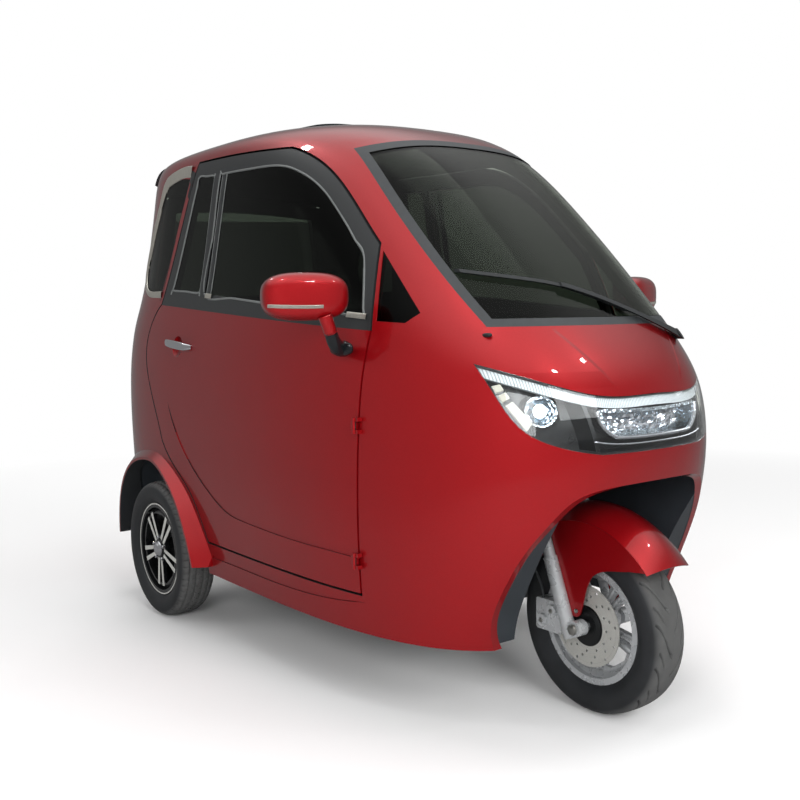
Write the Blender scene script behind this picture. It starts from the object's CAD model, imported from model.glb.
import bpy
import bmesh
import math
import numpy as np
from mathutils import Matrix, Vector
from mathutils.bvhtree import BVHTree


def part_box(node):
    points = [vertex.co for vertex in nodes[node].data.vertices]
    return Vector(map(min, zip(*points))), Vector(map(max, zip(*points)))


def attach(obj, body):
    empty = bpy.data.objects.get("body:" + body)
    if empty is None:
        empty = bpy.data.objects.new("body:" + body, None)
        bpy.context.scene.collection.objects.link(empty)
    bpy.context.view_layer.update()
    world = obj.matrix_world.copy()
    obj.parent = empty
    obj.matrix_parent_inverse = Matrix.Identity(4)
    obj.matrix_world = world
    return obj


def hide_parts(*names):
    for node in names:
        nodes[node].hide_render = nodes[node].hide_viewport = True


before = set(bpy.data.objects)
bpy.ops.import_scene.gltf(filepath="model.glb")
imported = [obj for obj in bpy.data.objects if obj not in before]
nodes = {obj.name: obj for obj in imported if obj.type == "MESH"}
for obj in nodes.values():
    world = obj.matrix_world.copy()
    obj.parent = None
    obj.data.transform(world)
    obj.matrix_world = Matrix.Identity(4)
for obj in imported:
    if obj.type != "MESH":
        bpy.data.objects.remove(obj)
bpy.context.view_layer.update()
print("frame loaded,", len(nodes), "nodes")


# The camera of the photograph, from its focal length in pixels of the 800 pixel frame
photo = {"width": 800, "focal": 985.6, "sensorMm": 36.0, "place": (2.684, -2.031, 1.097), "yaw": 142.81,
         "pitch": -5.05, "roll": -0.92}


def turned(degrees, axis):
    return Matrix.Rotation(math.radians(degrees), 4, axis)


def addObject(name, data):
    thing = bpy.data.objects.new(name, data)
    bpy.context.scene.collection.objects.link(thing)
    return thing


def addCamera():
    lens = bpy.data.cameras.new("photoCamera")
    lens.sensor_width = photo["sensorMm"]
    lens.lens = lens.sensor_width * photo["focal"] / photo["width"]
    eye = addObject("photoCamera", lens)
    # A camera looks down its own -Z: lift it to the horizon, turn it to the yaw, tilt and roll it about itself
    turn = turned(photo["yaw"] - 90, "Z") @ turned(90 + photo["pitch"], "X") @ turned(photo["roll"], "Z")
    eye.matrix_world = Matrix.Translation(photo["place"]) @ turn
    bpy.context.scene.camera = eye


# Nodes and colours

def toLinear(code):
    """Turns an sRGB hex colour to linear: below 0.04045 divided by 12.92, above it by the 2.4 power."""
    parts = [int(code[i:i + 2], 16) / 255 for i in (1, 3, 5)]
    return [p / 12.92 if p <= 0.04045 else ((p + 0.055) / 1.055) ** 2.4 for p in parts] + [1.0]


def addNode(tree, kind, sockets=None, **settings):
    node = tree.nodes.new("ShaderNode" + kind)
    for name, value in settings.items():
        setattr(node, name, value)
    for name, value in (sockets or {}).items():
        if isinstance(value, bpy.types.NodeSocket):
            tree.links.new(value, node.inputs[name])
        else:
            node.inputs[name].default_value = value
    return node


def startMaterial(name, **values):
    """A node tree with one Principled shader, its plain values set on the shader's own sockets."""
    material = bpy.data.materials.new(name)
    material.use_nodes = True
    tree = material.node_tree
    tree.nodes.clear()
    shader = addNode(tree, "BsdfPrincipled")
    for key, value in values.items():
        socket = key.replace("_", " ")
        shader.inputs[socket].default_value = toLinear(value) if isinstance(value, str) else value
    output = addNode(tree, "OutputMaterial", {"Surface": shader.outputs[0]})
    place = addNode(tree, "TexCoord")
    return material, tree, shader, place.outputs["Object"]


def math1(tree, operation, *values, **settings):
    return addNode(tree, "Math", dict(enumerate(values)), operation=operation, **settings).outputs[0]


def vector(tree, operation, *values):
    return addNode(tree, "VectorMath", dict(enumerate(values)), operation=operation).outputs


def split(tree, place):
    return addNode(tree, "SeparateXYZ", {0: place}).outputs


def mixColour(tree, amount, low, high, blend="MIX"):
    node = addNode(tree, "Mix", {0: amount}, data_type="RGBA", blend_type=blend)
    for index, value in ((6, low), (7, high)):
        if isinstance(value, str):
            node.inputs[index].default_value = toLinear(value)
        else:
            tree.links.new(value, node.inputs[index])
    return node.outputs[2]


def link(tree, source, shader, socket):
    tree.links.new(source, shader.inputs[socket])


def noise(tree, place, sizeMm, detail=2.0, roughness=0.5, stretch=(1, 1, 1)):
    """Soft noise whose lumps are sizeMm across, stretched along an axis by dividing its scale there."""
    spread = addNode(tree, "Mapping", {"Vector": place, "Scale": [1 / s for s in stretch]})
    return addNode(tree, "TexNoise", {"Vector": spread.outputs[0], "Scale": 1000 / sizeMm, "Detail": detail,
                                      "Roughness": roughness}).outputs[0]


def bump(tree, shader, height, depthMm, below=None):
    """Bump whose height of 1 stands depthMm proud."""
    node = addNode(tree, "Bump", {"Height": height, "Distance": depthMm / 1000, "Strength": 1.0})
    if below is not None:
        tree.links.new(below, node.inputs["Normal"])
    link(tree, node.outputs[0], shader, "Normal")
    return node.outputs[0]


def ramp(tree, value, low, high, start=0.0, end=1.0, way="LINEAR"):
    """The start below low and the end above high, straight or smooth between them."""
    return addNode(tree, "MapRange", {"Value": value, "From Min": low, "From Max": high, "To Min": start,
                                      "To Max": end}, clamp=True, interpolation_type=way).outputs[0]


# The cabin's middle, and its half length, width and height
cabin = {"middle": (-0.02, 0.0, 0.95), "half": (1.08, 0.58, 0.76)}


def inwardFace(tree, place):
    """1 where a face looks into the cabin: the fifth power of its place, measured from the cabin's middle in
    half lengths, widths and heights, points out through the nearest wall, and the normal points against it."""
    away = vector(tree, "SUBTRACT", place, cabin["middle"])[0]
    share = vector(tree, "DIVIDE", away, cabin["half"])[0]
    second = vector(tree, "MULTIPLY", share, share)[0]
    fourth = vector(tree, "MULTIPLY", second, second)[0]
    fifth = vector(tree, "MULTIPLY", fourth, share)[0]
    normal = next(n for n in tree.nodes if n.type == "TEX_COORD").outputs["Normal"]
    return math1(tree, "LESS_THAN", vector(tree, "DOT_PRODUCT", fifth, normal)["Value"], -0.02)


def radiusFrom(tree, place, axle):
    """Distance from a line along Y through the axle, which is a place or a socket."""
    away = vector(tree, "SUBTRACT", place, axle)[0]
    return vector(tree, "LENGTH", vector(tree, "MULTIPLY", away, (1.0, 0.0, 1.0))[0])["Value"]


def fluted(tree, along, pitchMm):
    """Rounded ribs, 0 in the grooves and 1 on the crests."""
    return math1(tree, "ABSOLUTE", math1(tree, "SINE", math1(tree, "MULTIPLY", along, 1000 * math.pi / pitchMm)))


def mixShader(tree, amount, first, second):
    return addNode(tree, "MixShader", {0: amount, 1: first.outputs[0], 2: second.outputs[0]}).outputs[0]


def setOutput(tree, surface):
    tree.links.new(surface, next(n for n in tree.nodes if n.type == "OUTPUT_MATERIAL").inputs[0])


# Materials, each named for what the real one is and how its surface was made

paint = {"bright": "#a90812", "dark": "#3d0307", "lining": "#26282a", "sparkle": "#e03034", "flakeMm": 2.2,
         "peelMm": 9.0, "wobbleMm": 210.0, "metallic": 0.55, "rough": 0.36, "innerRough": 0.61}
crease = {"high": (1.045, 0.215), "low": (0.900, 0.125), "halfStep": 0.007, "fade": (0.905, 0.945),
          "front": (0.80, 0.86), "depthMm": 2.2}
axles = {"front": (0.905, 0.0, 0.2435), "rear": (-0.700, 0.0, 0.2475)}
# Distances from the axle over which a tyre's wall turns to tread, and the disc's black carrier to its ring
edges = {"tread": (0.226, 0.240), "disc": (0.0555, 0.0562)}
tailLamp = {"clearTop": 0.770, "amberTop": 0.835, "fluteMm": 6.0, "stepMm": 12.0, "depthMm": 0.8,
            "red": ("#8e0710", "#d2141c"), "amber": ("#c25a0c", "#e8801a"), "clear": ("#a9adae", "#dfe2e3")}


def hoodCrease(tree, place):
    """Height of the two long creases that run down the nose: a soft step on each side, where the distance from
    the middle passes a line that narrows from the windscreen to the lamps, and none below."""
    v = crease
    x, y, z = split(tree, place)[:3]
    line = ramp(tree, z, v["low"][0], v["high"][0], v["low"][1], v["high"][1])
    gap = math1(tree, "SUBTRACT", math1(tree, "ABSOLUTE", y), line)
    step = ramp(tree, gap, -v["halfStep"], v["halfStep"], way="SMOOTHSTEP")
    step = math1(tree, "MULTIPLY", step, ramp(tree, z, *v["fade"]))
    return math1(tree, "MULTIPLY", step, ramp(tree, x, *v["front"]))


def candyLacquer(name="candyLacquerOnMouldedPanel", lined=True, creased=False):
    """Metallic base coat under a tinted clear coat: deep red that darkens where it turns away, a fine sparkle
    and a gloss that wavers with the moulded panel. The inner side of a lined panel is dark and dull."""
    material, tree, shader, place = startMaterial(name, Coat_Roughness=0.03, Coat_IOR=1.42, IOR=1.4)
    facing = addNode(tree, "LayerWeight", {"Blend": 0.35}).outputs["Facing"]
    flake = addNode(tree, "TexVoronoi", {"Vector": place, "Scale": 1000 / paint["flakeMm"]}).outputs["Color"]
    sparkle = addNode(tree, "SeparateColor", {0: flake}).outputs[0]
    red = mixColour(tree, facing, paint["bright"], paint["dark"])
    red = mixColour(tree, math1(tree, "MULTIPLY", sparkle, 0.06), red, paint["sparkle"])
    if lined:
        inside = inwardFace(tree, place)
        outside = math1(tree, "SUBTRACT", 1.0, inside)
        link(tree, mixColour(tree, inside, red, paint["lining"]), shader, "Base Color")
        link(tree, math1(tree, "MULTIPLY", outside, paint["metallic"]), shader, "Metallic")
        link(tree, outside, shader, "Coat Weight")
        duller = paint["innerRough"] - paint["rough"]
        link(tree, math1(tree, "MULTIPLY_ADD", inside, duller, paint["rough"]), shader, "Roughness")
    else:
        link(tree, red, shader, "Base Color")
        shader.inputs["Metallic"].default_value = paint["metallic"]
        shader.inputs["Coat Weight"].default_value = 1.0
        shader.inputs["Roughness"].default_value = paint["rough"]
    normal = bump(tree, shader, noise(tree, place, paint["peelMm"], 1.0), 0.02)
    normal = bump(tree, shader, noise(tree, place, paint["wobbleMm"], 1.0), 1.2, normal)
    if creased:
        normal = bump(tree, shader, hoodCrease(tree, place), crease["depthMm"], normal)
    link(tree, normal, shader, "Coat Normal")
    return material


def tintedGlass(name, tint, ior, haze=0.0):
    """Glass or acrylic, clear and glossy, dark through its thickness. Lamps shine through it."""
    material, tree, shader, place = startMaterial(
        name, Base_Color=tint, Roughness=haze, IOR=ior, Transmission_Weight=1.0)
    clear = addNode(tree, "BsdfTransparent", {0: toLinear(tint)})
    shadow = addNode(tree, "LightPath").outputs["Is Shadow Ray"]
    setOutput(tree, mixShader(tree, shadow, shader, clear))
    return material


def mottled(name, colours, sizeMm, detail, rough, spread, depthMm=0.0, stretch=(1, 1, 1), **values):
    """A surface whose roughness, and colour where two are given, follow one noise, which may be bumped too."""
    material, tree, shader, place = startMaterial(name, **values)
    grain = noise(tree, place, sizeMm, detail, stretch=stretch)
    if colours:
        link(tree, mixColour(tree, grain, *colours), shader, "Base Color")
    link(tree, math1(tree, "MULTIPLY_ADD", grain, spread, rough), shader, "Roughness")
    if depthMm:
        bump(tree, shader, grain, depthMm)
    return material


def castAlloy(name, dark, light, rough, metallic):
    """Cast aluminium or plated steel under a clear lacquer: soft sheen over the casting's skin."""
    return mottled(name, (dark, light), 26.0, 2.0, rough - 0.08, 0.16, Metallic=metallic, Coat_Weight=0.4,
                   Coat_Roughness=0.12)


def grainedPlastic(name, dark, light, rough, grainMm, depthMm):
    """Injection moulded polypropylene with a leather grain from the mould."""
    material, tree, shader, place = startMaterial(name)
    cells = addNode(tree, "TexVoronoi", {"Vector": place, "Scale": 1000 / grainMm},
                    feature="SMOOTH_F1").outputs[0]
    patch = noise(tree, place, 60.0, 3.0)
    link(tree, mixColour(tree, patch, dark, light), shader, "Base Color")
    link(tree, math1(tree, "MULTIPLY_ADD", patch, 0.14, rough - 0.07), shader, "Roughness")
    bump(tree, shader, cells, depthMm)
    return material


def tyreRubber():
    """Vulcanised carbon black rubber, darker on the walls, with road dust on the tread."""
    material, tree, shader, place = startMaterial("vulcanisedTyreRubber")
    dust = noise(tree, place, 45.0, 5.0, 0.6)
    front = math1(tree, "GREATER_THAN", split(tree, place)[0], 0.1)
    axle = addNode(tree, "Mix", {0: front, 4: axles["rear"], 5: axles["front"]}, data_type="VECTOR").outputs[1]
    tread = ramp(tree, radiusFrom(tree, place, axle), *edges["tread"])
    worn = math1(tree, "MULTIPLY", tread, math1(tree, "MULTIPLY_ADD", dust, 0.5, 0.4))
    wall = mixColour(tree, dust, "#151617", "#2b2d30")
    link(tree, mixColour(tree, worn, wall, "#5c5c5b"), shader, "Base Color")
    link(tree, math1(tree, "MULTIPLY_ADD", dust, 0.25, 0.42), shader, "Roughness")
    bump(tree, shader, noise(tree, place, 3.0, 3.0), 0.15)
    return material


def discSteel():
    """Ground steel brake ring on a carrier painted black."""
    material, tree, shader, place = startMaterial("groundDiscSteel")
    radius = radiusFrom(tree, place, axles["front"])
    ring = ramp(tree, radius, *edges["disc"])
    rings = addNode(tree, "CombineXYZ", {"X": radius}).outputs[0]
    ground = addNode(tree, "TexNoise", {"Vector": rings, "Scale": 900.0, "Detail": 2.0}).outputs[0]
    steel = mixColour(tree, ground, "#a2a29d", "#c8c7c2")
    link(tree, mixColour(tree, ring, "#121314", steel), shader, "Base Color")
    link(tree, math1(tree, "MULTIPLY", ring, 0.45), shader, "Metallic")
    link(tree, math1(tree, "MULTIPLY_ADD", ground, 0.2, 0.2), shader, "Roughness")
    return material


def facetedMirror():
    """Aluminium vapour on a moulded reflector with small pillow facets."""
    material, tree, shader, place = startMaterial("vapourCoatedReflector", Base_Color="#c8d0d6", Metallic=1.0)
    cells = addNode(tree, "TexVoronoi", {"Vector": place, "Scale": 1000 / 11.0})
    link(tree, math1(tree, "MULTIPLY_ADD", noise(tree, place, 6.0, 2.0), 0.12, 0.04), shader, "Roughness")
    bump(tree, shader, cells.outputs["Distance"], 3.0)
    return material


def frostedBar():
    """Fluted light guide moulded in milky acrylic, unlit: pale grey with upright flutes 5 mm apart."""
    material, tree, shader, place = startMaterial("fluteMouldedAcrylic", Transmission_Weight=0.25, IOR=1.47)
    flute = fluted(tree, split(tree, place)[1], 5.0)
    link(tree, mixColour(tree, flute, "#b4babd", "#e3e7e8"), shader, "Base Color")
    link(tree, math1(tree, "MULTIPLY_ADD", flute, 0.15, 0.2), shader, "Roughness")
    bump(tree, shader, flute, 0.6)
    return material


def litBulb():
    """Glowing chip behind a small moulded lens."""
    material, tree, shader, place = startMaterial("litBulbLens", Base_Color="#ffffff", Roughness=0.2,
                                                  Emission_Strength=7.0, Emission_Color="#fbfdff")
    return material


def tailLens():
    """Moulded acrylic tail lamp: red above, then an amber and a clear block, all with upright flutes."""
    material, tree, shader, place = startMaterial(
        "mouldedTailLampAcrylic", Roughness=0.12, Transmission_Weight=0.12, IOR=1.47, Coat_Weight=0.6,
        Coat_Roughness=0.03)
    v = tailLamp
    y, z = split(tree, place)[1:3]
    flute = fluted(tree, y, v["fluteMm"])
    red, amber, clear = (mixColour(tree, flute, *v[key]) for key in ("red", "amber", "clear"))
    low = mixColour(tree, math1(tree, "GREATER_THAN", z, v["clearTop"]), clear, amber)
    link(tree, mixColour(tree, math1(tree, "GREATER_THAN", z, v["amberTop"]), low, red), shader, "Base Color")
    bump(tree, shader, math1(tree, "MULTIPLY", flute, fluted(tree, z, v["stepMm"])), v["depthMm"])
    return material


finish = {
    "paint": candyLacquer(),
    "plainPaint": candyLacquer("candyLacquerOnSmallParts", False),
    "hoodPaint": candyLacquer("candyLacquerOnCreasedNose", True, True),
    "satin": mottled("satinPowderCoat", ("#1f2122", "#292b2c"), 2.0, 2.0, 0.34, 0.18, 0.05, Coat_Weight=0.15),
    "sideGlass": tintedGlass("tintedFloatGlass", "#4a5049", 1.2),
    "screenGlass": tintedGlass("laminatedScreenGlass", "#8c9488", 1.2),
    "roofGlass": tintedGlass("tintedRoofGlass", "#3a4044", 1.3),
    "lens": tintedGlass("clearLampCover", "#f4f7f8", 1.45, 0.02),
    # Extruded EPDM rubber, matt with a faint bloom
    "seal": mottled("extrudedSealRubber", ("#26282a", "#3a3d3f"), 25.0, 4.0, 0.42, 0.2),
    "redLens": tailLens(),
    "lampBlack": grainedPlastic("mouldedLampHousing", "#0b0c0d", "#141618", 0.30, 1.2, 0.02),
    "grained": grainedPlastic("grainedPolypropylene", "#17191a", "#232628", 0.55, 1.6, 0.06),
    "liner": grainedPlastic("blowMouldedArchLiner", "#23272b", "#30353a", 0.48, 2.4, 0.15),
    "paleRubber": grainedPlastic("windowEdgeRubber", "#585b5b", "#6b6e6d", 0.42, 1.5, 0.02),
    "smoothBlack": grainedPlastic("polishedBlackMoulding", "#0f1113", "#171a1d", 0.22, 2.0, 0.01),
    "strip": grainedPlastic("paleReflectorMoulding", "#b9b6a8", "#cbc8bb", 0.35, 3.0, 0.05),
    "seat": grainedPlastic("calenderedSeatVinyl", "#151618", "#212326", 0.6, 2.2, 0.08),
    "floorMat": grainedPlastic("ribbedFloorRubber", "#1b1c1d", "#2a2b2c", 0.7, 3.0, 0.3),
    # Bright mirror with the slight waver of the polished casting
    "chrome": mottled("chromePlatedCasting", None, 30.0, 2.0, 0.03, 0.1, 0.15, Base_Color="#d9dade",
                      Metallic=1.0),
    # Warm silver, drawn upright
    "trim": mottled("anodisedAluminiumTrim", ("#bdb9ae", "#d8d5cc"), 2.5, 2.0, 0.26, 0.12, stretch=(1, 1, 12),
                    Metallic=0.85),
    "tyre": tyreRubber(),
    "frontAlloy": castAlloy("lacqueredCastAlloy", "#aeb1b4", "#c2c4c6", 0.28, 0.5),
    "rearAlloy": castAlloy("blackLacqueredAlloy", "#0c0d0e", "#1a1b1d", 0.22, 0.2),
    "forkAlloy": castAlloy("tumbledForkCasting", "#b1b4b6", "#c3c5c7", 0.28, 0.5),
    "steelNut": castAlloy("zincPlatedSteel", "#8f908c", "#b9b8b2", 0.32, 0.9),
    "motor": castAlloy("sandCastMotorCase", "#5d6062", "#74777a", 0.5, 0.7),
    "disc": discSteel(),
    # Faced on a lathe under clear lacquer, with fine turning marks
    "machined": mottled("faceTurnedAlloy", ("#c6c7c3", "#e6e5df"), 1.2, 2.0, 0.18, 0.14, Metallic=0.45,
                        Coat_Weight=0.3, Coat_Roughness=0.08),
    "reflector": facetedMirror(),
    "lightBar": frostedBar(),
    # Flat glass silvered on its back, with a trace of dust
    "mirror": mottled("silveredMirrorGlass", None, 20.0, 3.0, 0.0, 0.05, Base_Color="#cdd3d8", Metallic=1.0),
    "lit": litBulb(),
    # Even black with a low gloss
    "steel": mottled("enamelledSteel", ("#101112", "#1d1f20"), 18.0, 3.0, 0.3, 0.2, Coat_Weight=0.3,
                     Coat_Roughness=0.2),
}

dressed = {
    "hoodPaint": "front_cowl",
    "paint": "roof_and_pillars rear_body sills door_panel_right door_panel_left tailgate_panel",
    "plainPaint": "front_fender mirror_shell_right mirror_shell_left door_hinges tailgate_hinges",
    "satin": "door_frame_right door_frame_left",
    "sideGlass": "door_glass_right door_glass_left fixed_side_panes tailgate_glass",
    "screenGlass": "windscreen",
    "roofGlass": "sunroof",
    "seal": "windscreen_seal brake_hose",
    "lens": "headlamp_cover",
    "lampBlack": "headlamp_tray",
    "lightBar": "headlamp_light_bar",
    "reflector": "headlamp_reflectors",
    "redLens": "tail_lamps",
    "chrome": "door_handle_right door_handle_left",
    "trim": "quarter_trim",
    "grained": "mirror_stalk_right mirror_stalk_left plate_bracket tailgate_pull dashboard seat_box handlebar "
               "wiper",
    "liner": "front_arch_liner rear_wheel_housings",
    "floorMat": "floor_pan",
    "tyre": "front_tyre rear_tyre_right rear_tyre_left",
    "frontAlloy": "front_rim",
    "rearAlloy": "rear_rim_right rear_rim_left",
    "forkAlloy": "fork_sliders brake_calliper fork_crown front_axle",
    "disc": "brake_disc",
    "steel": "rear_axle rear_springs steering_head",
    "motor": "drive_motor",
    "seat": "front_seat rear_bench"}
for key, names in dressed.items():
    for name in names.split():
        nodes[name].data.materials.clear()
        nodes[name].data.materials.append(finish[key])
print("materials on the frame")


# Shapes: every surface is one grid of places, filled in by numpy

def smoothLine(points, count):
    """A curve through the points, each stretch a cubic with the slope of its neighbours' chord."""
    p = np.asarray(points, float)
    ends = np.vstack([2 * p[0] - p[1], p, 2 * p[-1] - p[-2]])
    t = np.linspace(0, len(p) - 1, count)
    k = np.minimum(t.astype(int), len(p) - 2)
    s = (t - k)[:, None]
    a, b, c, d = ends[k], ends[k + 1], ends[k + 2], ends[k + 3]
    return 0.5 * (2 * b + (c - a) * s + (2 * a - 5 * b + 4 * c - d) * s ** 2 + (3 * b - a - 3 * c + d) * s ** 3)


def gridMesh(name, places, roundU=False, roundV=False, smooth=True):
    """A mesh of four-sided faces over a (rows, columns, 3) array of places, closed round either way if asked."""
    rows, columns = places.shape[:2]
    index = np.arange(rows * columns).reshape(rows, columns)
    down = np.roll(index, -1, 0) if roundU else index[1:]
    here = index if roundU else index[:-1]
    if roundV:
        faces = np.stack([here, np.roll(here, -1, 1), np.roll(down, -1, 1), down], -1).reshape(-1, 4)
    else:
        faces = np.stack([here[:, :-1], here[:, 1:], down[:, 1:], down[:, :-1]], -1).reshape(-1, 4)
    data = bpy.data.meshes.new(name)
    data.vertices.add(rows * columns)
    data.vertices.foreach_set("co", places.reshape(-1).astype(np.float32))
    data.loops.add(faces.size)
    data.loops.foreach_set("vertex_index", faces.reshape(-1).astype(np.int32))
    data.polygons.add(len(faces))
    data.polygons.foreach_set("loop_start", np.arange(0, faces.size, 4, dtype=np.int32))
    data.polygons.foreach_set("use_smooth", np.full(len(faces), smooth))
    data.update(calc_edges=True)
    return data


def joined(name, meshes):
    """One mesh of several, kept as separate shells."""
    builder = bmesh.new()
    for mesh in meshes:
        builder.from_mesh(mesh)
        bpy.data.meshes.remove(mesh)
    data = bpy.data.meshes.new(name)
    builder.to_mesh(data)
    builder.free()
    return data


def addPiece(name, data, material, body, replaced=(), outward=True):
    """Puts a mesh in the scene on its CAD body, its faces turned outward and its doubled corners joined."""
    builder = bmesh.new()
    builder.from_mesh(data)
    bmesh.ops.remove_doubles(builder, verts=builder.verts, dist=1e-6)
    if outward:
        bmesh.ops.recalc_face_normals(builder, faces=builder.faces)
    builder.to_mesh(data)
    builder.free()
    piece = addObject(name, data)
    data.materials.append(finish[material])
    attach(piece, body)
    if replaced:
        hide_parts(*replaced)
    return piece


def lathe(name, profile, centre, turns=96):
    """A surface turned about a line along Y through the centre, of (y, radius) pairs in metres."""
    line = np.asarray(profile, float)
    angle = np.linspace(0, 2 * np.pi, turns, endpoint=False)
    y, r = line[:, 0][:, None], line[:, 1][:, None]
    places = np.stack([r * np.cos(angle), np.broadcast_to(y, (len(line), turns)), r * np.sin(angle)], -1)
    return gridMesh(name, places + np.asarray(centre), roundV=True)


def pillow(name, low, high, power=5.0, crown=0.0, seams=(), rows=64, columns=96, back=None):
    """A stuffed block: a squared ball whose three exponents are the power, swollen on top by the crown, with
    seams pressed in near their places along X or Y, and flat behind x = back."""
    low, high = np.asarray(low, float), np.asarray(high, float)
    half = (high - low) / 2
    u = np.linspace(0, np.pi, rows)[:, None]
    v = np.linspace(0, 2 * np.pi, columns, endpoint=False)[None, :]
    way = np.stack([np.sin(u) * np.cos(v), np.sin(u) * np.sin(v), np.cos(u) * np.ones_like(v)], -1)
    reach = (np.abs(way) ** power).sum(-1, keepdims=True) ** (-1.0 / power)
    unit = way * reach
    places = unit * half
    bulge = np.clip(1 - unit[..., 0] ** 2, 0, 1) * np.clip(1 - unit[..., 1] ** 2, 0, 1)
    places[..., 2] += crown * bulge * np.clip(unit[..., 2], 0, 1)
    for axis, at, width, depth in seams:
        near = np.exp(-((places[..., axis] - at) / width) ** 2)
        places -= (unit * near[..., None]) * depth
    if back is not None:
        places[..., 0] = np.maximum(places[..., 0], back)
    return gridMesh(name, places + (low + high) / 2, roundV=True)


def surfaceOf(*names):
    """One search tree over the surfaces of the named CAD nodes."""
    corners, faces, count = [], [], 0
    for name in names:
        mesh = nodes[name].data
        flat = np.empty(len(mesh.vertices) * 3, np.float32)
        mesh.vertices.foreach_get("co", flat)
        mesh.calc_loop_triangles()
        triangles = np.empty(len(mesh.loop_triangles) * 3, np.int32)
        mesh.loop_triangles.foreach_get("vertices", triangles)
        matrix = np.array(nodes[name].matrix_world)
        corners.append(flat.reshape(-1, 3) @ matrix[:3, :3].T + matrix[:3, 3])
        faces.append(triangles.reshape(-1, 3) + count)
        count += len(mesh.vertices)
    return BVHTree.FromPolygons(np.vstack(corners).tolist(), np.vstack(faces).tolist())


def laidOn(tree, places, way, lift, reach=0.6):
    """Each place is thrown along the way until it meets the surface, then lifted off it along the normal. One
    that meets nothing within the reach goes to the surface's nearest place instead."""
    flat = places.reshape(-1, 3)
    ways = np.broadcast_to(np.asarray(way, float), flat.shape)
    found = []
    for place, direction in zip(flat, ways):
        aim = Vector(direction).normalized()
        hit, normal, face, gap = tree.ray_cast(Vector(place), aim, reach)
        if hit is None:
            hit, normal, face, gap = tree.find_nearest(Vector(place) + aim * reach * 0.6)
        if normal.dot(aim) > 0:
            normal = -normal
        found.append(hit + normal * lift)
    return np.array(found).reshape(places.shape)


def laidBand(name, tree, line, across, lifts, sign):
    """A raised band on a side of the car, along a line of (x, z) places: each row stands off to the left of the
    line by its distance across, which may change along the line, and proud of the surface by its lift."""
    way = np.gradient(line, axis=0)
    way /= np.linalg.norm(way, axis=1, keepdims=True)
    left = np.stack([-way[:, 1], way[:, 0]], -1)
    shift = np.stack([np.broadcast_to(a, len(line)) for a in across])
    flat = line[None] + left[None] * shift[..., None]
    skin = np.full(flat.shape[:2], np.nan)
    for row, column in np.ndindex(*skin.shape):
        x, z = flat[row, column]
        hit = tree.ray_cast(Vector((x, sign * 0.95, z)), Vector((0, -sign, 0)), 0.6)[0]
        skin[row, column] = np.nan if hit is None else abs(hit.y)
    # Places over a gap take their neighbours' height, and single steps are levelled by the middle of seven
    steps = np.arange(len(line))
    for row in range(len(skin)):
        known = ~np.isnan(skin[row])
        filled = np.interp(steps, steps[known], skin[row][known]) if known.any() else np.full(len(steps), 0.55)
        ends = np.pad(filled, 3, mode="edge")
        skin[row] = np.median(np.stack([ends[k:k + len(steps)] for k in range(7)]), axis=0)
    skin = np.maximum(skin, np.median(skin, axis=0, keepdims=True))
    out = sign * (skin + np.asarray(lifts)[:, None])
    return gridMesh(name, np.stack([flat[..., 0], out, flat[..., 1]], -1))


# Tyres: the section follows the CAD tyre, the tread is cut into it by depth functions of arc and width

# (share of the half width, share of the height above the flange)
tyreSection = [(0.66, -0.13), (0.70, 0.02), (0.84, 0.13), (0.955, 0.29), (0.998, 0.47), (0.975, 0.66),
               (0.885, 0.83), (0.70, 0.938), (0.40, 0.987), (0.0, 1.0)]
frontTread = {"pitches": 13, "inner": 5.0, "outer": 54.0, "sweep": 62.0, "lean": 26.0, "groove": 7.6,
              "depth": 6.0, "columns": 832, "rows": 56}
rearTread = {"rings": (-37.0, -13.0, 13.0, 37.0), "ring": 6.4, "depth": 5.5, "pitches": 62, "sipe": 3.4,
             "sipeDepth": 3.6, "slant": 9.0, "edge": 60.0, "columns": 744, "rows": 44}
# Raised rings on the wall: (share of the height, height in metres, half width as a share)
wallRings = [(0.72, 0.0007, 0.012), (0.3, 0.0006, 0.015), (0.09, 0.0011, 0.03)]


def edged(distance, half, soft):
    """1 inside the half width, falling to 0 over the soft width outside it."""
    return np.clip((half + soft - distance) / soft, 0.0, 1.0)


def wrapped(value, pitch):
    return (value + pitch / 2) % pitch - pitch / 2


def scooterTread(arc, side):
    """Long S-shaped grooves, one set on each half, half a pitch apart: the groove's middle runs along the arc
    by a sine of its place between the crown and the shoulder, plus a straight lean."""
    v = frontTread
    pitch = arc.max() / v["pitches"]
    depth = np.zeros_like(arc)
    share = np.clip((np.abs(side) - v["inner"]) / (v["outer"] - v["inner"]), 0, 1)
    inside = (np.abs(side) > v["inner"]) & (np.abs(side) < v["outer"])
    wave = v["lean"] * share + v["sweep"] / 2 * np.sin(np.pi * (share - 0.5))
    for number, (start, cut) in enumerate(((0.0, 1.0), (0.42, 0.75))):
        middle = wave + np.where(side > 0, 0.5, 0.0) * pitch + start * pitch
        gap = np.abs(wrapped(arc - middle, pitch)) * 0.72
        reach = inside & (share > 0.45 * number) & (share < 1.0 - 0.12 * number)
        depth = np.maximum(depth, edged(gap, v["groove"] / 2 * (1.1 - 0.5 * share), 0.9) * cut * reach)
    return depth * v["depth"]


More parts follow.
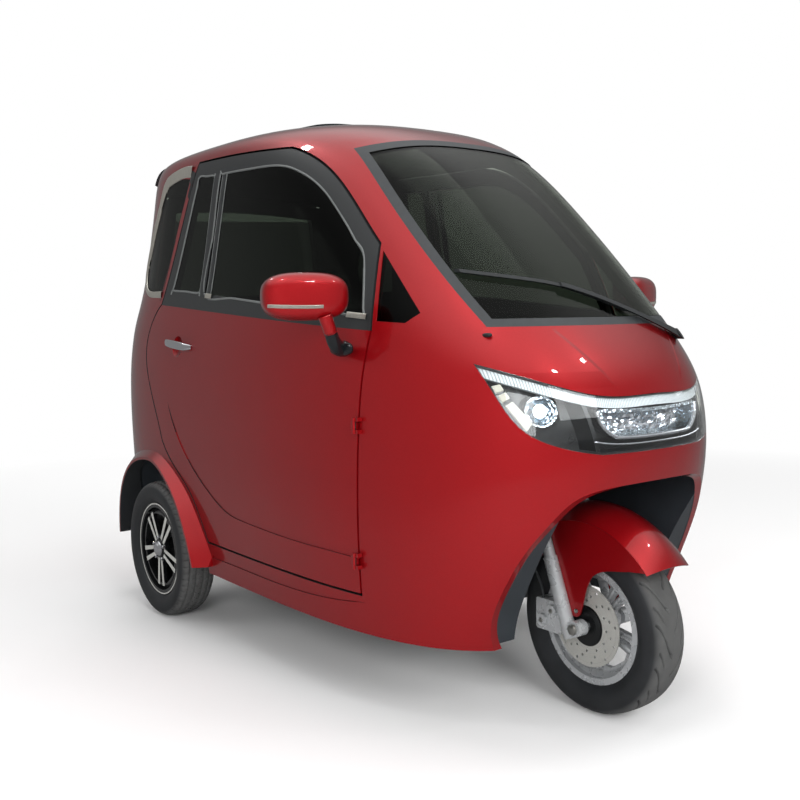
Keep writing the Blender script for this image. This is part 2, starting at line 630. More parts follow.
def roadTread(arc, side):
    """Four rings cut round the tyre, with slanted cuts across the ribs and wider ones at the shoulders."""
    v = rearTread
    pitch = arc.max() / v["pitches"]
    depth = np.zeros_like(arc)
    for ring in v["rings"]:
        depth = np.maximum(depth, edged(np.abs(side - ring), v["ring"] / 2, 0.8) * v["depth"])
    rib = np.floor((side - v["rings"][0]) / (v["rings"][1] - v["rings"][0]))
    slanted = arc + v["slant"] * np.sin(side / 11.0) + rib * pitch * 0.37
    shoulder = np.abs(side) > v["rings"][-1]
    width = np.where(shoulder, v["sipe"] * 1.25, v["sipe"]) / 2
    cuts = edged(np.abs(wrapped(slanted, pitch)), width, 0.9) * (np.abs(side) < v["edge"])
    middle = np.abs(side) < v["rings"][2] - 3
    return np.maximum(depth, cuts * v["sipeDepth"] * np.where(middle & (np.abs(side) < 4), 0.0, 1.0))


def addTyre(node, rim, body, tread, values):
    """A tyre from the rim's flange out to the CAD tyre's size, with the tread cut in and rings on its walls."""
    (x0, y0, z0), (x1, y1, z1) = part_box(node)
    rimLow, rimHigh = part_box(rim)
    flange = (rimHigh[2] - rimLow[2]) / 2
    radius, half = (z1 - z0) / 2, (y1 - y0) / 2
    centre = np.array([(x0 + x1) / 2, (y0 + y1) / 2, (z0 + z1) / 2])
    line = smoothLine([(w * half, flange + h * (radius - flange)) for w, h in tyreSection], values["rows"])
    even = np.linspace(0, 1, values["rows"])
    run = np.concatenate([[0], np.cumsum(np.hypot(*np.diff(line, axis=0).T))])
    share = np.interp(even, [0, 0.42, 1], [0, 0.62, 1])
    line = np.stack([np.interp(share * run[-1], run, line[:, k]) for k in (0, 1)], -1)
    line = np.vstack([line, (line * (-1, 1))[-2::-1]])
    angle = np.linspace(0, 2 * np.pi, values["columns"], endpoint=False)
    side = np.broadcast_to(line[:, :1] * 1000, (len(line), values["columns"]))
    arc = np.broadcast_to(angle * radius * 1000, side.shape)
    cut = tread(arc, side) * (line[:, 1:] > flange + 0.8 * (radius - flange)) / 1000
    wall = np.clip((line[:, 1:] - flange) / (radius - flange), 0, 1)
    rib = sum(high * np.exp(-((wall - at) / wide) ** 2) for at, high, wide in wallRings)
    r = line[:, 1:] - cut
    y = line[:, :1] + np.sign(line[:, :1]) * rib * (wall < 0.8)
    places = np.stack([r * np.cos(angle), np.broadcast_to(y, r.shape), r * np.sin(angle)], -1) + centre
    addPiece(node + "Tread", gridMesh(node, places, roundV=True), "tyre", body, (node,))


addTyre("front_tyre", "front_rim", "front_wheel", scooterTread, frontTread)
for side in ("right", "left"):
    addTyre("rear_tyre_" + side, "rear_rim_" + side, "rear_wheel_" + side, roadTread, rearTread)
print("tyres")


# Wheels: machined faces on the spokes and lip, hub cap, nuts and valve

rearFace = {"spokes": 5, "from": 36.0, "to": 137.0, "spread": (10.5, 20.5), "width": (12.0, 16.5), "proud": 0.8,
            "bevel": 0.6, "web": 6.0, "lip": (162.8, 168.4), "cap": 29.0, "capRise": 20.0, "nutCircle": 42.0,
            "nut": 6.5}
frontFace = {"spokes": 5, "from": 34.0, "to": 128.0, "spread": (5.0, 15.0), "width": (9.0, 12.0), "proud": 6.5,
             "bevel": 3.5, "web": 33.1, "webThick": 16.0}


def middleOf(node):
    """The low corner, the high corner and the middle of a node's box."""
    low, high = (np.array(corner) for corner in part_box(node))
    return low, high, (low + high) / 2


def bar(start, end, widths, height, bevel):
    """A raised bar between two points of a plane, given as (across, up) in metres with its foot at height 0: the
    section rises by a bevel, runs flat and falls, and both ends close in the same way."""
    start, end = np.asarray(start, float), np.asarray(end, float)
    length = np.linalg.norm(end - start)
    way = (end - start) / length
    over = np.array([-way[1], way[0]])
    lift = np.array([0, 0.4, 1, 1, 0.4, 0]) * height
    along = np.array([0, 0, bevel, length - bevel, length, length])
    width = widths[0] + (widths[1] - widths[0]) * along / length
    across = np.array([-1, -1, -1 + 2 * bevel / widths[0], 1 - 2 * bevel / widths[0], 1, 1]) / 2
    flat = start + way * along[:, None, None] + over * (across[None, :, None] * width[:, None, None])
    return np.dstack([flat, np.minimum(lift[:, None], lift[None, :])])


def onWheel(plane, centre, outer, sign):
    """Takes (across, up, out) places to the wheel's outer side: out is measured from the outer face along Y."""
    return np.stack([centre[0] + plane[..., 0], outer + sign * plane[..., 2], centre[2] + plane[..., 1]], -1)


def spokeBars(v, centre, outer, sign, deep, smooth):
    """Two bars along each spoke, whose feet lie deep millimetres below the wheel's outer face."""
    bars = []
    for number in range(v["spokes"]):
        middle = 2 * math.pi * (number + 0.5) / v["spokes"] + math.pi / 2
        along = np.array([math.cos(middle), math.sin(middle)])
        over = np.array([-math.sin(middle), math.cos(middle)])
        for half in (-1, 1):
            start, end = ((reach * along + half * spread * over) / 1000
                          for reach, spread in zip((v["from"], v["to"]), v["spread"]))
            plane = bar(start, end, [w / 1000 for w in v["width"]], v["proud"] / 1000, v["bevel"] / 1000)
            plane[..., 2] -= deep / 1000
            bars.append(gridMesh("bar", onWheel(plane, centre, outer, sign), smooth=smooth))
    return bars


def addRearFace(side, sign):
    v = rearFace
    low, high, centre = middleOf("rear_rim_" + side)
    outer = high[1] if sign > 0 else low[1]
    faces = spokeBars(v, centre, outer, sign, v["web"], False)
    a, b = v["lip"]
    ring = [(outer - sign * 0.0002, a / 1000), (outer + sign * 0.0008, a / 1000 + 0.0006),
            (outer + sign * 0.0008, b / 1000 - 0.0008), (outer - sign * 0.001, b / 1000)]
    faces.append(lathe("lip", [(y - centre[1], r) for y, r in ring], centre, 160))
    addPiece("rearFace_" + side, joined("rearFace", faces), "machined", "rear_wheel_" + side)
    cap, rise, web = v["cap"] / 1000, v["capRise"] / 1000, outer - sign * v["web"] / 1000
    dome = [(0.0, cap), (0.25, cap), (0.32, cap * 0.93), (0.45, cap * 0.9), (0.5, cap * 0.8), (0.8, cap * 0.68),
            (0.93, cap * 0.5), (0.99, cap * 0.25), (1.0, 0.0005)]
    shape = [(web + sign * rise * share - centre[1], r) for share, r in dome]
    addPiece("hubCap_" + side, lathe("hubCap", shape, centre), "chrome", "rear_wheel_" + side)
    nuts = []
    for number in range(v["spokes"]):
        turn = 2 * math.pi * number / v["spokes"] + math.pi / 2
        spot = centre + np.array([math.cos(turn), 0, math.sin(turn)]) * v["nutCircle"] / 1000
        size = v["nut"] / 1000
        nut = [(web - centre[1] - sign * 0.001, size), (web - centre[1] + sign * 0.008, size),
               (web - centre[1] + sign * 0.010, size * 0.8), (web - centre[1] + sign * 0.0104, 0.0004)]
        nuts.append(lathe("nut", nut, spot, 6))
    addPiece("wheelNuts_" + side, joined("wheelNuts", nuts), "chrome", "rear_wheel_" + side)


addRearFace("right", -1)
addRearFace("left", 1)

def addFrontRibs():
    """A raised rib along each half of the split spokes, on both sides of the web."""
    v = frontFace
    low, high, centre = middleOf("front_rim")
    leftDeep = (high[1] - low[1]) * 1000 - v["web"] - v["webThick"]
    ribs = spokeBars(v, centre, low[1], -1, v["web"], True) + spokeBars(v, centre, high[1], 1, leftDeep, True)
    addPiece("frontRibs", joined("frontRibs", ribs), "frontAlloy", "front_wheel")


addFrontRibs()


def addValves():
    for rim, body, sign in (("front_rim", "front_wheel", -1), ("rear_rim_right", "rear_wheel_right", -1),
                            ("rear_rim_left", "rear_wheel_left", 1)):
        low, high, centre = middleOf(rim)
        reach = (high[2] - low[2]) / 2 - 0.028
        turn = math.radians(118)
        spot = centre + np.array([math.cos(turn) * reach, 0, math.sin(turn) * reach])
        face = sign * (high[1] - low[1]) / 2
        stem = [(face * 0.55, 0.0045), (face * 0.9, 0.0042), (face * 0.92, 0.003), (face * 1.06, 0.003),
                (face * 1.06, 0.0036), (face * 1.16, 0.0036), (face * 1.17, 0.0004)]
        addPiece("valve_" + rim, lathe("valve", stem, spot, 20), "grained", body)


addValves()
print("wheels")


# Lamps: lit spot in each round reflector, faceted mirror in the bowl, thin bright line below it

lamp = {"mouth": (1.006, 0.315, 0.850), "way": (0.92, 0.39, 0.0), "bulb": 0.0165, "bulbBack": 0.037,
        "bowlHalf": (0.150, 0.119), "bowlLow": 0.787, "bowlHigh": 0.838, "facets": (9, 34), "facetDeep": 0.010,
        "lineHeight": 0.7625, "lineHalf": 0.205, "lineBack": 0.012, "lineRadius": 0.0028,
        "frame": (0.192, 0.846, 0.780, 0.150), "frameBack": 0.014, "frameRadius": 0.0055, "stripBack": 0.010,
        "strips": [((0.384, 0.912), (0.371, 0.917), (0.368, 0.903), (0.381, 0.896)),
                   ((0.379, 0.888), (0.366, 0.897), (0.362, 0.884), (0.375, 0.873)),
                   ((0.371, 0.864), (0.359, 0.875), (0.333, 0.822), (0.344, 0.804))]}


def tube(name, line, radius, sides=12):
    """A round rod along a line of places, of one radius or one for each place, square to the line at each."""
    line = np.asarray(line, float)
    way = np.gradient(line, axis=0)
    way /= np.linalg.norm(way, axis=1, keepdims=True)
    up = np.where(np.abs(way[:, 2:]) > 0.9, np.array([[1.0, 0, 0]]), np.array([[0, 0, 1.0]]))
    first = np.cross(way, up)
    first /= np.linalg.norm(first, axis=1, keepdims=True)
    second = np.cross(way, first)
    angle = np.linspace(0, 2 * np.pi, sides, endpoint=False)
    size = np.broadcast_to(np.asarray(radius, float), len(line))
    size = np.concatenate([[size[0] * 0.02], size, [size[-1] * 0.02]])
    line, first, second = (np.vstack([a[:1], a, a[-1:]]) for a in (line, first, second))
    ring = first[:, None] * np.cos(angle)[None, :, None] + second[:, None] * np.sin(angle)[None, :, None]
    return gridMesh(name, line[:, None] + ring * size[:, None, None], roundV=True)


def addLampInsides():
    v = lamp
    bowl = surfaceOf("headlamp_reflectors")
    cover = surfaceOf("headlamp_cover")
    bulbs = []
    for sign in (-1, 1):
        way = Vector((v["way"][0], sign * v["way"][1], 0)).normalized()
        spot = Vector((v["mouth"][0], sign * v["mouth"][1], v["mouth"][2])) - way * v["bulbBack"]
        turn = way.to_track_quat("Y", "Z").to_matrix().to_4x4()
        shape = [(0.0, v["bulb"]), (0.004, v["bulb"] * 0.95), (0.009, v["bulb"] * 0.7), (0.012, 0.0003)]
        dome = lathe("bulb", shape, (0, 0, 0), 40)
        dome.transform(Matrix.Translation(spot) @ turn)
        bulbs.append(dome)
    addPiece("lampBulbs", joined("lampBulbs", bulbs), "lit", "chassis")
    rows, columns = v["facets"]
    up = np.linspace(0, 1, rows)[:, None] * np.ones((1, columns))
    half = v["bowlHalf"][1] + (v["bowlHalf"][0] - v["bowlHalf"][1]) * up
    y = np.linspace(-1, 1, columns)[None, :] * half
    z = v["bowlLow"] + (v["bowlHigh"] - v["bowlLow"]) * up
    seen = laidOn(bowl, np.stack([np.full_like(y, 1.4), y, z], -1), (-1, 0, 0), 0.001)
    deep = np.random.default_rng(7).uniform(0.0, v["facetDeep"], y.shape)
    deep[0], deep[-1], deep[:, 0], deep[:, -1] = (0.0005,) * 4
    seen[..., 0] += deep
    addPiece("lampFacets", gridMesh("lampFacets", seen, smooth=False), "chrome", "chassis", outward=False)
    y = np.linspace(-v["lineHalf"], v["lineHalf"], 60)
    start = np.stack([np.full_like(y, 1.4), y, v["lineHeight"] + 0.03 * (y / v["lineHalf"]) ** 4 * 0.4], -1)
    line = laidOn(cover, start[None], (-1, 0, 0), 0.0)[0] - np.array([v["lineBack"], 0, 0])
    addPiece("lampLine", tube("lampLine", line, v["lineRadius"]), "chrome", "chassis")
    addBowlFrame(cover)
    addSideStrips(cover)


def addBowlFrame(cover):
    """Bright frame round the sides and foot of the middle reflector."""
    half, high, low, foot = lamp["frame"]
    right = [(half, high), (half - 0.010, (high + low) / 2), (foot, low + 0.006), (foot - 0.03, low)]
    line = smoothLine([(-y, z) for y, z in right] + [(0, low - 0.002)] + right[::-1], 140)
    start = np.stack([np.full(len(line), 1.4), line[:, 0], line[:, 1]], -1)
    found = laidOn(cover, start[None], (-1, 0, 0), 0.0)[0] - np.array([lamp["frameBack"], 0, 0])
    addPiece("bowlFrame", tube("bowlFrame", found, lamp["frameRadius"]), "chrome", "chassis")


def addSideStrips(cover):
    """Pale reflector blocks down the outer edge of each headlamp, behind the cover."""
    blocks = []
    for sign in (-1, 1):
        for corners in lamp["strips"]:
            (ya, za), (yb, zb), (yc, zc), (yd, zd) = corners
            u = np.linspace(0, 1, 9)[None, :, None]
            w = np.linspace(0, 1, 15)[:, None, None]
            top = np.array([ya, za]) * (1 - u) + np.array([yb, zb]) * u
            foot = np.array([yd, zd]) * (1 - u) + np.array([yc, zc]) * u
            flat = top * (1 - w) + foot * w
            start = np.stack([np.full(flat.shape[:2], 1.4), sign * flat[..., 0], flat[..., 1]], -1)
            found = laidOn(cover, start, (-1, 0, 0), 0.0)
            found -= np.array([lamp["stripBack"], 0, 0])
            back = found - np.array([0.004, 0, 0])
            edge = np.concatenate([back[:1], found, back[-1:]])
            side = np.concatenate([back[:1], back, back[-1:]])
            blocks.append(gridMesh("block", np.concatenate([side[:, :1], edge, side[:, -1:]], axis=1)))
    addPiece("lampStrips", joined("lampStrips", blocks), "strip", "chassis")


addLampInsides()
print("lamps")


# Mirrors: squared shells turned back a little, stripe, glass and a bent arm; these replace the plain solids

mirror = {"centre": (0.472, 0.660, 1.144), "half": (0.056, 0.116, 0.063), "power": 2.9, "turn": 18.0,
          "back": 0.030,
          "glass": (0.096, 0.047), "stripe": (-0.036, 0.106), "stripeHeight": 0.0045, "stripeDrop": -0.028,
          "arm": [(0.492, 0.552, 1.004), (0.500, 0.574, 1.006), (0.511, 0.596, 1.022), (0.517, 0.610, 1.045),
                  (0.520, 0.620, 1.068), (0.520, 0.630, 1.094)],
          "glassRings": [(1.0, 0.002), (1.0, -0.0006), (0.97, -0.0014), (0.5, -0.0014), (0.001, -0.0014)],
          "armRadius": [0.022, 0.021, 0.019, 0.017, 0.017, 0.018], "neck": 0.62,
          "foot": ((0.440, 0.546, 0.985), (0.540, 0.575, 1.024))}


def squared(count, power):
    """Reach of a squared circle at even angles."""
    angle = np.linspace(0, 2 * np.pi, count, endpoint=False)
    return angle, (np.abs(np.cos(angle)) ** power + np.abs(np.sin(angle)) ** power) ** (-1 / power)


def addMirror(side, sign):
    v = mirror
    a, b, c = v["half"]
    place = Matrix.Translation((v["centre"][0], sign * v["centre"][1], v["centre"][2]))
    place = place @ turned(sign * v["turn"], "Z")
    door = "door_" + side
    shell = pillow("mirrorShell", (-a, -b, -c), (a, b, c), v["power"], rows=72, columns=128, back=-v["back"])
    shell.transform(place)
    addPiece("mirrorShell_" + side, shell, "plainPaint", door, ("mirror_shell_" + side,))
    start, end = v["stripe"]
    y = sign * np.linspace(start, end, 50)[None, :] * np.ones((6, 1))
    z = v["stripeDrop"] + np.array([-1, -1, -0.6, 0.6, 1, 1])[:, None] * v["stripeHeight"] * np.ones((1, 50))
    z = z + 0.004 * (y / b) ** 2
    left = np.clip(1 - np.abs(y / b) ** v["power"] - np.abs(z / c) ** v["power"], 0.0, 1.0)
    lift = np.array([-0.0010, 0.0010, 0.0016, 0.0016, 0.0010, -0.0010])[:, None]
    band = gridMesh("stripe", np.stack([a * left ** (1 / v["power"]) + lift, y, z], -1))
    band.transform(place)
    addPiece("mirrorStripe_" + side, band, "trim", door)
    angle, reach = squared(72, v["power"])
    rings = []
    for share, x in v["glassRings"]:
        wide, tall = (half * share * reach for half in v["glass"])
        flat = np.full_like(angle, -v["back"] + x)
        rings.append(np.stack([flat, wide * np.cos(angle), tall * np.sin(angle)], -1))
    glass = gridMesh("mirrorGlass", np.array(rings), roundV=True, smooth=False)
    glass.transform(place)
    addPiece("mirrorGlass_" + side, glass, "mirror", door)
    arm = smoothLine([(x, sign * y, z) for x, y, z in v["arm"]], 60)
    radius = np.interp(np.linspace(0, 1, 60), np.linspace(0, 1, len(v["armRadius"])), v["armRadius"])
    (x0, y0, z0), (x1, y1, z1) = v["foot"]
    low, high = (x0, min(sign * y0, sign * y1), z0), (x1, max(sign * y0, sign * y1), z1)
    neck = int(60 * v["neck"])
    rod = tube("arm", arm[:neck + 2], radius[:neck + 2], 28)
    black = joined("mirrorArm", [rod, pillow("foot", low, high, 2.5, rows=36, columns=56)])
    addPiece("mirrorArm_" + side, black, "smoothBlack", door, ("mirror_stalk_" + side,))
    addPiece("mirrorNeck_" + side, tube("neck", arm[neck:], radius[neck:] + 0.0012, 28), "plainPaint", door)


addMirror("right", -1)
addMirror("left", 1)

# Door handles: a flat bar that follows the skin and bends back to it at both ends

handle = {"from": -0.588, "to": -0.398, "height": 1.000, "tilt": -0.085, "stand": 0.020,
          "half": (0.0075, 0.0145), "power": 3.0}


def addHandle(side, sign):
    v = handle
    panel = surfaceOf("door_panel_" + side)
    along = np.linspace(-1, 1, 60)
    middle, half = (v["from"] + v["to"]) / 2, (v["to"] - v["from"]) / 2
    x = middle + half * along
    z = v["height"] + v["tilt"] * half * along
    ends = laidOn(panel, np.array([[[x[i], sign * 0.95, z[i]] for i in (0, -1)]]), (0, -sign, 0), 0.0)[0]
    skin = np.interp(along, [-1, 1], np.abs(ends[:, 1])) + 0.004 * (1 - along ** 2)
    swell = np.clip(1 - np.abs(along) ** v["power"], 0, 1) ** (1 / v["power"])
    y = sign * (skin + v["stand"] * np.clip(1.25 * (1 - along ** 6), 0, 1) - 0.002)
    angle, reach = squared(28, 2.3)
    deep = y[:, None] + v["half"][0] * swell[:, None] * (reach * np.cos(angle))[None]
    tall = z[:, None] + v["half"][1] * swell[:, None] * (reach * np.sin(angle))[None]
    places = np.stack([np.broadcast_to(x[:, None], deep.shape), deep, tall], -1)
    addPiece("doorHandle_" + side, gridMesh("doorHandle", places, roundV=True), "chrome", "door_" + side,
             ("door_handle_" + side,))


addHandle("right", -1)
addHandle("left", 1)

# Windows: satin trim behind, dark strip on the pillar, pale rubber round the panes, sliding channel and clips

# Lines of (x, z) places, x from the rear axle
window = {"trim": [(0.114, 1.588), (0.060, 1.592), (0.0, 1.588), (-0.055, 1.579), (-0.090, 1.565),
                   (-0.118, 1.522), (-0.140, 1.480), (-0.168, 1.427), (-0.190, 1.380), (-0.210, 1.330),
                   (-0.225, 1.285), (-0.222, 1.245), (-0.200, 1.215), (-0.165, 1.198), (-0.120, 1.190),
                   (-0.070, 1.189), (-0.018, 1.189)],
          "trimWidth": ([0, 0.22, 0.34, 0.8, 1.0], [0.040, 0.038, 0.026, 0.019, 0.024]),
          "pillar": [(-0.009, 1.150), (0.021, 1.250), (0.071, 1.420), (0.120, 1.580), (0.130, 1.606)],
          "pillarHalf": (0.0185, 0.0150),
          "pane": [(0.332, 1.172), (0.550, 1.151), (0.850, 1.123), (1.100, 1.099), (1.194, 1.091), (1.190, 1.120),
                   (1.146, 1.255), (1.100, 1.302), (1.040, 1.362), (0.930, 1.458), (0.820, 1.520), (0.700, 1.556),
                   (0.520, 1.566), (0.360, 1.570), (0.340, 1.566), (0.336, 1.370)],
          "vent": [(0.076, 1.190), (0.180, 1.183), (0.288, 1.176), (0.292, 1.200), (0.297, 1.540), (0.298, 1.570),
                   (0.240, 1.576), (0.180, 1.579), (0.165, 1.530), (0.078, 1.205)],
          "channel": [(0.362, 1.171), (0.364, 1.300), (0.368, 1.430), (0.372, 1.566)], "channelHalf": 0.013,
          "clips": [((0.372, 1.163), (0.046, 0.016), -0.09), ((1.178, 1.092), (0.072, 0.015), -0.095)],
          # Sections: shares of the width or distances across, and lifts off the surface
          "trimBand": ([-0.04, 0.0, 0.12, 0.5, 0.88, 1.0, 1.02],
                       [-0.001, 0.0015, 0.003, 0.0042, 0.003, 0.0015, -0.001]),
          "pillarBand": ([-1, -0.98, -0.9, 0.9, 0.98, 1], [-0.001, 0.0006, 0.0012, 0.0012, 0.0006, -0.001]),
          "paneBead": ([-0.0035, -0.003, 0.0, 0.003, 0.0035], [-0.001, 0.001, 0.0020, 0.001, -0.001]),
          "channelBead": ([-0.002, -0.0015, 0.0, 0.0015, 0.002], [-0.001, 0.001, 0.0022, 0.001, -0.001]),
          "clipBand": ([-0.5, -0.5, -0.42, 0.42, 0.5, 0.5], [-0.001, 0.0035, 0.0045, 0.0045, 0.0035, -0.001])}


def closedRound(points, count):
    """A closed smooth line through the points."""
    ends = points[-3:] + points + points[:3]
    line = smoothLine(ends, count * (len(ends) - 1) // len(points))
    step = (len(ends) - 1) / (len(line) - 1)
    first, last = int(3 / step), int((3 + len(points)) / step)
    return line[first:last + 1]


def addWindowTrim(side, sign):
    v = window
    offset = np.array([axles["rear"][0], 0.0])
    body = surfaceOf("rear_body", "roof_and_pillars", "fixed_side_panes")
    door = surfaceOf("door_frame_" + side, "door_glass_" + side)
    line = smoothLine(v["trim"], 150) + offset
    wide = np.interp(np.linspace(0, 1, 150), *v["trimWidth"])
    shares, lifts = v["trimBand"]
    trim = laidBand("quarterTrim", body, line, [-share * wide for share in shares], lifts, sign)
    addPiece("quarterTrim_" + side, trim, "trim", "chassis", ("quarter_trim",))
    post = smoothLine(v["pillar"], 60) + offset
    half = np.interp(np.linspace(0, 1, 60), [0, 1], v["pillarHalf"])
    shares, lifts = v["pillarBand"]
    strip = laidBand("pillarStrip", body, post, [share * half for share in shares], lifts, sign)
    addPiece("pillarStrip_" + side, strip, "satin", "chassis")
    rubber = []
    for key in ("pane", "vent"):
        edge = closedRound([(x + offset[0], z) for x, z in v[key]], 220)
        rubber.append(laidBand("paneRubber", door, edge, *v["paneBead"], sign))
    inner = smoothLine(v["channel"], 60) + offset
    for shift in (-v["channelHalf"] - 0.002, v["channelHalf"] + 0.002):
        rubber.append(laidBand("paneRubber", door, inner + np.array([shift, 0]), *v["channelBead"], sign))
    addPiece("paneRubber_" + side, joined("paneRubber", rubber), "paleRubber", "door_" + side)
    half = v["channelHalf"]
    channel = laidBand("channel", door, inner, [-half, -half + 0.001, half - 0.001, half],
                       [-0.001, 0.0012, 0.0012, -0.001], sign)
    addPiece("windowChannel_" + side, channel, "satin", "door_" + side)
    clips = []
    for (x, z), (long, tall), slope in v["clips"]:
        line = np.array([(x + offset[0] + long * t, z + slope * long * t) for t in np.linspace(-0.5, 0.5, 13)])
        shares, lifts = v["clipBand"]
        clips.append(laidBand("clip", door, line, [share * tall for share in shares], lifts, sign))
    addPiece("windowClips_" + side, joined("windowClips", clips), "trim", "door_" + side)


addWindowTrim("right", -1)
addWindowTrim("left", 1)


def hexHead(centre, way, radius, height, sides=6):
    """A nut or bolt head: a short prism with a chamfered top, its line along the way."""
    turn = Vector(way).to_track_quat("Y", "Z").to_matrix().to_4x4()
    shape = [(-height * 0.3, radius), (height * 0.85, radius), (height, radius * 0.86), (height * 1.001, 0.0003)]
    mesh = lathe("hex", shape, (0, 0, 0), sides)
    mesh.transform(Matrix.Translation(centre) @ turn)
    return mesh


# Sizes are (radius, height); the axle nut's place is its distance from the middle
fastener = {"axleNut": 0.1112, "axleNutSize": (0.0150, 0.009), "legBolt": (0.893, 0.0850, 0.287),
            "legBoltSize": (0.0062, 0.004), "slidePins": ((0.782, -0.108, 0.240), (0.819, -0.108, 0.273)),
            "slidePinSize": (0.006, 0.003)}


def addFasteners():
    v = fastener
    centre = middleOf("front_axle")[2]
    nuts = [hexHead((centre[0], s * v["axleNut"], centre[2]), (0, s, 0), *v["axleNutSize"]) for s in (-1, 1)]
    addPiece("axleNuts", joined("axleNuts", nuts), "steelNut", "fork")
    x, y, z = v["legBolt"]
    bolts = [hexHead((x, s * y, z), (0, s, 0), *v["legBoltSize"]) for s in (-1, 1)]
    bolts += [hexHead(spot, (0, -1, 0), *v["slidePinSize"], 20) for spot in v["slidePins"]]
    addPiece("forkBolts", joined("forkBolts", bolts), "steelNut", "fork")
    cowl = surfaceOf("front_cowl")
    spot = Vector(laidOn(cowl, np.array([[[1.2, -0.5, 1.35]]]), (-0.35, 0.14, -0.31), 0.0, 1.0)[0, 0])
    low, high = spot - Vector((0.014, 0.009, 0.004)), spot + Vector((0.014, 0.009, 0.007))
    addPiece("washerNozzle", pillow("washerNozzle", low, high, 2.6, rows=24, columns=32), "grained", "chassis")


addFasteners()

gateSeal = {"along": (-1.066, 1.584), "half": 0.345, "radius": 0.0095, "crown": 0.012, "level": 1.560}


def addGateSeal():
    """Rubber bulb under the roof's rear edge, which closes the gap above the tailgate."""
    v = gateSeal
    y = np.linspace(-v["half"], v["half"], 40)
    start = np.stack([np.full_like(y, -1.4), y, np.full_like(y, v["level"])], -1)
    bow = laidOn(surfaceOf("tailgate_panel"), start[None], (1, 0, 0), 0.0)[0][:, 0]
    line = np.stack([v["along"][0] + bow - bow.min(), y, v["along"][1] - v["crown"] * (y / v["half"]) ** 2], -1)
    addPiece("tailgateSeal", tube("tailgateSeal", line, v["radius"]), "seal", "chassis")


addGateSeal()
print("small fittings")


# Seats: stuffed pads in black imitation leather with pressed seams

seat = {"seam": (0.006, 0.007), "lean": -10.0}


def addPad(name, low, high, node, seams=(), crown=0.012, place=None, power=6.0):
    data = pillow(name, low, high, power, crown, seams, 72, 144)
    if place is not None:
        # Leaned back about a line along Y, then set down at its place
        data.transform(Matrix.Translation(place) @ turned(seat["lean"], "Y"))
    piece = addPiece(name, data, "seat", "chassis", (node,))


pipes = [(1, y, *seat["seam"]) for y in (-0.115, 0.115)]
low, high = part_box("front_seat")
addPad("seatCushion", (low[0] + 0.154, -0.215, low[2]), (high[0], 0.215, low[2] + 0.110), "front_seat",
       pipes + [(0, -0.03, *seat["seam"])])
addPad("seatBack", (0, -0.205, 0), (0.11, 0.205, 0.56), "front_seat", pipes, 0.0, (-0.410, 0, low[2] + 0.070))
addPad("seatHeadrest", (0, -0.12, 0), (0.09, 0.12, 0.15), "front_seat", (), 0.0, (-0.500, 0, low[2] + 0.600), 4.0)
low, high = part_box("rear_bench")
benchSeams = [(1, y, *seat["seam"]) for y in (-0.2, 0.0, 0.2)]
addPad("benchCushion", (low[0] + 0.004, -0.4, low[2]), (high[0], 0.4, low[2] + 0.100), "rear_bench", benchSeams)
addPad("benchBack", (low[0], -0.4, low[2] + 0.040), (low[0] + 0.08, 0.4, high[2]), "rear_bench", benchSeams, 0.0)
print("seats")


# Studio: pale floor that fades to the white backdrop, a large soft key ahead of the car, a fill at its side

studio = {"white": "#ffffff", "worldDiffuse": 0.35, "floorReach": 40.0, "fadeFrom": 2.0, "fadeTo": 5.0,
          "low": 0.25, "high": 1.25, "highFrom": 0.45, "highTo": 0.85, "through": 0.75,
          "lamps": [("keyPanel", (4.8, -0.6, 2.6), (0.5, 0.0, 0.7), (2.6, 2.0), 120.0),
                    ("sideKey", (2.9, -3.1, 1.7), (0.7, -0.2, 0.6), (1.6, 1.4), 75.0),
                    ("sideFill", (-2.4, -4.2, 2.6), (-0.4, 0.0, 0.7), (2.4, 1.6), 22.0),
                    ("rearFill", (-4.6, 1.6, 2.8), (-0.6, 0.0, 0.8), (2.6, 2.0), 70.0),
                    ("leftFill", (1.6, 4.6, 2.6), (0.0, 0.0, 0.7), (2.6, 1.8), 45.0),
                    ("topPanel", (0.0, 0.4, 4.6), (0.0, 0.0, 1.0), (3.2, 2.2), 70.0),
                    ("ceilingSpotA", (3.0, -0.6, 3.4), (0.7, 0.0, 0.8), (0.16, 0.16), 6.0),
                    ("ceilingSpotB", (2.6, 1.0, 3.6), (0.7, 0.0, 0.8), (0.16, 0.16), 6.0),
                    ("ceilingSpotC", (1.2, -1.4, 3.6), (0.3, 0.0, 0.8), (0.16, 0.16), 5.0),
                    ("ceilingSpotD", (-1.4, -1.2, 3.6), (-0.5, 0.0, 0.8), (0.16, 0.16), 5.0)]}


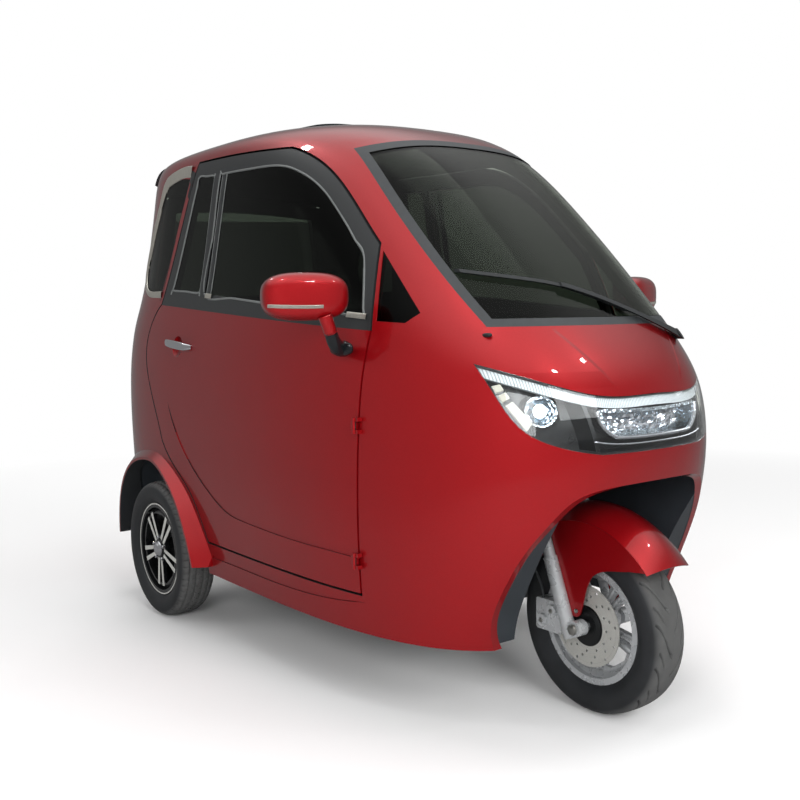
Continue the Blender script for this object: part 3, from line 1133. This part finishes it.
def addWorld():
    """White behind the car for the camera; gloss meets a dim room under a bright ceiling, glass a paler one."""
    world = bpy.data.worlds.new("studioWorld")
    world.use_nodes = True
    bpy.context.scene.world = world
    tree = world.node_tree
    tree.nodes.clear()
    v = studio
    path = addNode(tree, "LightPath")
    way = addNode(tree, "TexCoord").outputs["Generated"]
    up = split(tree, way)[2]
    ceiling = ramp(tree, up, v["highFrom"], v["highTo"], v["low"], v["high"], "SMOOTHSTEP")
    level = addNode(tree, "Mix", {0: path.outputs["Is Glossy Ray"], 2: v["worldDiffuse"], 3: ceiling}).outputs[0]
    for ray, value in (("Is Transmission Ray", v["through"]), ("Is Camera Ray", 1.0)):
        level = addNode(tree, "Mix", {0: path.outputs[ray], 2: level, 3: value}).outputs[0]
    sky = addNode(tree, "Background", {"Color": toLinear(v["white"]), "Strength": level})
    addNode(tree, "OutputWorld", {"Surface": sky.outputs[0]})


def addFloor():
    """Pale floor that turns to plain white for the camera further out, and to the dim room for gloss."""
    reach = studio["floorReach"]
    data = bpy.data.meshes.new("studioFloor")
    corners = [(x * reach, y * reach, 0) for x, y in ((-1, -1), (1, -1), (1, 1), (-1, 1))]
    data.from_pydata(corners, [], [(0, 1, 2, 3)])
    floor = addObject("studioFloor", data)
    material, tree, shader, place = startMaterial("studioFloorPaper", Roughness=0.9)
    path = addNode(tree, "LightPath")
    link(tree, mixColour(tree, path.outputs["Is Glossy Ray"], "#fafafa", "#8c8c8c"), shader, "Base Color")
    far = vector(tree, "LENGTH", place)["Value"]
    fade = ramp(tree, far, studio["fadeFrom"], studio["fadeTo"])
    level = addNode(tree, "Mix", {0: path.outputs["Is Camera Ray"], 2: studio["low"], 3: 1.0}).outputs[0]
    glow = addNode(tree, "Emission", {"Color": toLinear(studio["white"]), "Strength": level})
    shown = math1(tree, "MULTIPLY", fade, math1(tree, "SUBTRACT", 1.0, path.outputs["Is Diffuse Ray"]))
    setOutput(tree, mixShader(tree, shown, shader, glow))
    data.materials.append(material)


def addLamps():
    for name, place, aim, (width, height), watts in studio["lamps"]:
        data = bpy.data.lights.new(name, "AREA")
        data.shape = "RECTANGLE"
        data.size = width
        data.size_y = height
        data.energy = watts
        light = addObject(name, data)
        light.visible_glossy = name.startswith("ceiling")
        look = Vector(aim) - Vector(place)
        light.matrix_world = Matrix.Translation(place) @ look.to_track_quat("-Z", "Y").to_matrix().to_4x4()


addCamera()
addWorld()
addFloor()
addLamps()
bpy.context.scene.view_settings.view_transform = "Standard"
print("camera, studio and lamps")
